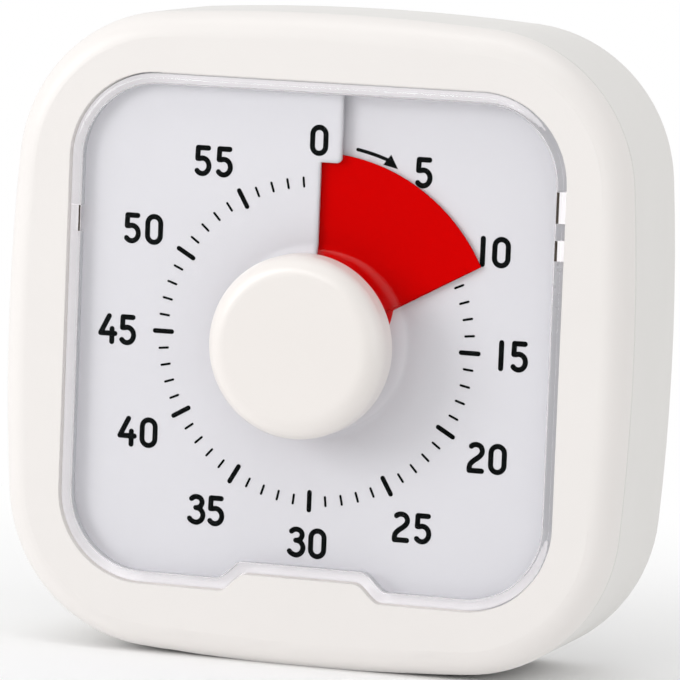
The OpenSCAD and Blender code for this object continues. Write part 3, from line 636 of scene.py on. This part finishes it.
# Pen paths of the figures, 4 mm tall with the stroke, centred on 0
FIGURES = {
    "0": [arc((0, 0.76), (0.9, 0.92), 0, 180) + arc((0, -0.76), (0.9, 0.92), 180, 200, 2),
          arc((0, -0.76), (0.9, 0.92), 180, 360) + arc((0, 0.76), (0.9, 0.92), 0, 20, 2)],
    "1": [[(0, 1.66), (0, -1.66)]],
    "2": [flowing([(-0.66, 1.46), (-0.4, 1.64), (0.05, 1.7), (0.55, 1.52), (0.82, 1.02),
                   (0.72, 0.5), (0.3, 0.05), (-0.3, -0.4), (-0.72, -0.85), (-0.84, -1.3),
                   (-0.84, -1.68)]),
          [(-0.84, -1.68), (0.82, -1.68)]],
    "3": [flowing([(-0.72, 1.4), (-0.4, 1.63), (0.0, 1.69), (0.5, 1.52), (0.75, 1.02),
                   (0.55, 0.48), (0.1, 0.24), (-0.1, 0.24)]),
          flowing([(-0.1, 0.24), (0.25, 0.2), (0.7, -0.12), (0.92, -0.68), (0.72, -1.3),
                   (0.2, -1.66), (-0.3, -1.64), (-0.72, -1.44), (-0.92, -1.22)])],
    "4": [[(0.16, 1.68), (-0.98, -0.6)], [(-0.98, -0.6), (1.02, -0.6)],
          [(0.6, 0.02), (0.6, -1.68)]],
    "5": [[(0.78, 1.68), (-0.62, 1.68)], [(-0.62, 1.68), (-0.66, 0.27)],
          [Vector((-0.66, 0.27))] + arc((0, -0.67), (0.92, 1.01), 112, -140, 26)],
}
# Middle of each number and the distance between its two figures
LABELS = [
    ("0", -0.3, 26.2, 0), ("5", 13.5, 22.8, 0), ("10", 23.2, 13.2, 2.5), ("15", 26.2, 0.0, 2.35),
    ("20", 23.7, -13.4, 2.9), ("25", 14.0, -23.2, 2.85), ("30", -0.1, -26.3, 2.85),
    ("35", -14.1, -23.1, 2.6), ("40", -23.9, -13.5, 3.0), ("45", -27.2, -0.2, 2.7),
    ("50", -24.1, 13.2, 3.1), ("55", -14.7, 22.6, 2.95),
]


def dial_printing():
    """The numbers, the sixty-step ring of ticks and the arrow on the dial."""
    numbers = []
    for text, x, y, gap in LABELS:
        for i, figure in enumerate(text):
            spot = Vector((x + (i - (len(text) - 1) / 2) * gap, y))
            numbers.append([stroke([spot + Vector(p) for p in path], STROKE)
                            for path in FIGURES[figure]])
    printed("dial_numbers", numbers)
    ticks = []
    for minute in range(1, 60):
        length, width = SHORT_TICK if minute % 5 else LONG_TICK
        reach = (length - width) / 2
        ticks.append([stroke([at_angle(TICK_R - reach, 6 * minute),
                              at_angle(TICK_R + reach, 6 * minute)], width, 6)])
    printed("dial_ticks", ticks)
    shaft = [at_angle(ARROW_R, ARROW_FROM + (ARROW_TO - ARROW_FROM) * i / 12) for i in range(13)]
    tip, root = Vector(HEAD_TIP), shaft[-1]
    along = (tip - root).normalized()
    across = Vector((-along.y, along.x)) * HEAD_HALF
    printed("dial_arrow", [[stroke(shaft, ARROW_WIDTH)], [[root - across, tip, root + across]]])


dial_printing()


# ---- smooth faces ----

# Faces that meet at less than this angle, in degrees, look like one curved face.
SHARP_FROM = 30

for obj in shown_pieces():
    for face in obj.data.polygons:
        face.use_smooth = True
    if not obj.data.has_custom_normals:
        obj.data.set_sharp_from_angle(angle=math.radians(SHARP_FROM))


# ---- studio ----

# Distances from the object where the floor starts to fade and is white, and the floor's radius,
# in metres
FADE_FROM, FADE_TO, FLOOR_R = 0.055, 0.16, 6.0
# Brightness of the room on matt faces, and as glossy faces mirror it, ahead of the object and
# at its sides
ROOM, ROOM_AHEAD, ROOM_ASIDE = 0.82, 0.02, 0.9
# Y of a direction that counts as ahead or as aside, where -1 is straight ahead
AHEAD, ASIDE = -0.9, -0.35
# Lamps: name, place, width, height and power, in metres and watts; all aim at one point. A wide
# soft box at the upper left and one overhead light everything. The two strips light the window
# and the knob alone, as fine white lines in their rounded edges.
LAMPS = (("key", (-1.05, -1.0, 0.5), 0.7, 0.7, 7.4),
         ("overhead", (0.0, -0.35, 1.2), 1.0, 0.4, 1.7),
         ("strip_above", (-0.40, -1.03, 0.72), 1.1, 0.10, 5.0),
         ("strip_right", (1.1, -0.45, 0.1), 0.25, 0.9, 2.0))
LAMPS_AIM = Vector((0, 0, 0.042))
# The camera as fitted to the photograph: focal length on a 36 mm sensor, place in metres, and
# its axes to the right, upwards and backwards
FOCAL, CAMERA_AT = 304.45, (0.23144, -0.71371, 0.12271)
CAMERA_AXES = ((0.94903, 0.31276, 0.03901), (-0.07054, 0.09014, 0.99343),
               (0.30719, -0.94555, 0.10761))


def mirror_ray(tree):
    """1 on a ray that has left a glossy face and met nothing matt since, else 0."""
    path = add(tree, "LightPath").outputs
    unscattered = add(tree, "Math", {0: path["Diffuse Depth"], 1: 0.5}, operation="LESS_THAN")
    gloss = add(tree, "Math", {0: path["Glossy Depth"], 1: 0.5}, operation="GREATER_THAN")
    return add(tree, "Math", {0: unscattered.outputs[0], 1: gloss.outputs[0]},
               operation="MULTIPLY").outputs[0]


def floor():
    """Pale paper that fades into white, so that only the object's shadow shows on it. The glossy
    pieces don't mirror it, only the room."""
    mesh = bpy.data.meshes.new("floor")
    sheet = bmesh.new()
    bmesh.ops.create_circle(sheet, cap_ends=True, segments=96, radius=FLOOR_R)
    sheet.to_mesh(mesh)
    sheet.free()
    ground = bpy.data.objects.new("floor", mesh)
    bpy.context.scene.collection.objects.link(ground)
    material, tree, where = start("white_studio_floor")
    away = add(tree, "VectorMath", {0: where}, operation="LENGTH")
    far = add(tree, "MapRange", {"Value": away.outputs["Value"], "From Min": FADE_FROM,
              "From Max": FADE_TO}, interpolation_type="SMOOTHSTEP")
    seen = add(tree, "LightPath").outputs["Is Camera Ray"]
    fade = add(tree, "Math", {0: far.outputs[0], 1: seen}, operation="MULTIPLY")
    paper = add(tree, "BsdfDiffuse", {"Color": linear("F8F8F8")})
    white = add(tree, "Emission", {"Color": (1, 1, 1, 1), "Strength": 1.0})
    ground_look = add(tree, "MixShader", {0: fade.outputs[0], 1: paper.outputs[0],
                      2: white.outputs[0]})
    pass_straight(tree, mirror_ray(tree), "FFFFFF", ground_look)
    mesh.materials.append(material)


def room():
    """White room: full white behind the object, a little less as light on it, and in its
    reflections dark in front and bright round the sides."""
    world = bpy.data.worlds.new("studio")
    bpy.context.scene.world = world
    world.use_nodes = True
    sky = world.node_tree
    sky.nodes.clear()
    # Rays that see the room from the camera, straight or through the window
    path = add(sky, "LightPath").outputs
    unscattered = add(sky, "Math", {0: path["Diffuse Depth"], 1: 0.5}, operation="LESS_THAN")
    through = add(sky, "Math", {0: unscattered.outputs[0], 1: path["Is Transmission Ray"]},
                  operation="MULTIPLY")
    direct = add(sky, "Math", {0: path["Is Camera Ray"], 1: through.outputs[0]},
                 operation="MAXIMUM").outputs[0]
    way = add(sky, "TexCoord").outputs["Generated"]
    ahead = add(sky, "SeparateXYZ", {"Vector": way}).outputs["Y"]
    mirrored = add(sky, "MapRange", {"Value": ahead, "From Min": AHEAD, "From Max": ASIDE,
                   "To Min": ROOM_AHEAD, "To Max": ROOM_ASIDE}, interpolation_type="SMOOTHSTEP")
    straight = add(sky, "Mix", {0: direct, 2: ROOM, 3: 1.0}, data_type="FLOAT")
    level = add(sky, "Mix", {0: mirror_ray(sky), 2: straight.outputs[0],
                3: mirrored.outputs["Result"]}, data_type="FLOAT")
    back = add(sky, "Background", {"Color": (1, 1, 1, 1), "Strength": level.outputs[0]})
    add(sky, "OutputWorld", {"Surface": back.outputs[0]})


def lamps():
    """Sets up the lamps and ties the strips to the pieces that they light."""
    lit_by_strips = bpy.data.collections.new("lit_by_strips")
    lit_by_strips.objects.link(window)
    lit_by_strips.objects.link(NODES["knob"])
    for name, spot, wide, high, power in LAMPS:
        lamp = bpy.data.lights.new(name, "AREA")
        lamp.shape, lamp.size, lamp.size_y, lamp.energy = "RECTANGLE", wide, high, power
        holder = bpy.data.objects.new(name, lamp)
        holder.location = spot
        holder.rotation_mode = "QUATERNION"
        holder.rotation_quaternion = (LAMPS_AIM - Vector(spot)).to_track_quat("-Z", "Y")
        if name.startswith("strip"):
            holder.light_linking.receiver_collection = lit_by_strips
            holder.visible_diffuse = holder.visible_transmission = False
        bpy.context.scene.collection.objects.link(holder)


def camera():
    """The photograph's point of view."""
    optics = bpy.data.cameras.new("camera")
    optics.lens, optics.sensor_width = FOCAL, 36.0
    optics.clip_start, optics.clip_end = 0.01, 50.0
    holder = bpy.data.objects.new("camera", optics)
    holder.rotation_mode = "QUATERNION"
    holder.rotation_quaternion = Matrix(CAMERA_AXES).transposed().to_quaternion()
    holder.location = CAMERA_AT
    bpy.context.scene.collection.objects.link(holder)
    bpy.context.scene.camera = holder


floor()
room()
lamps()
camera()
bpy.context.scene.view_settings.view_transform = "Standard"
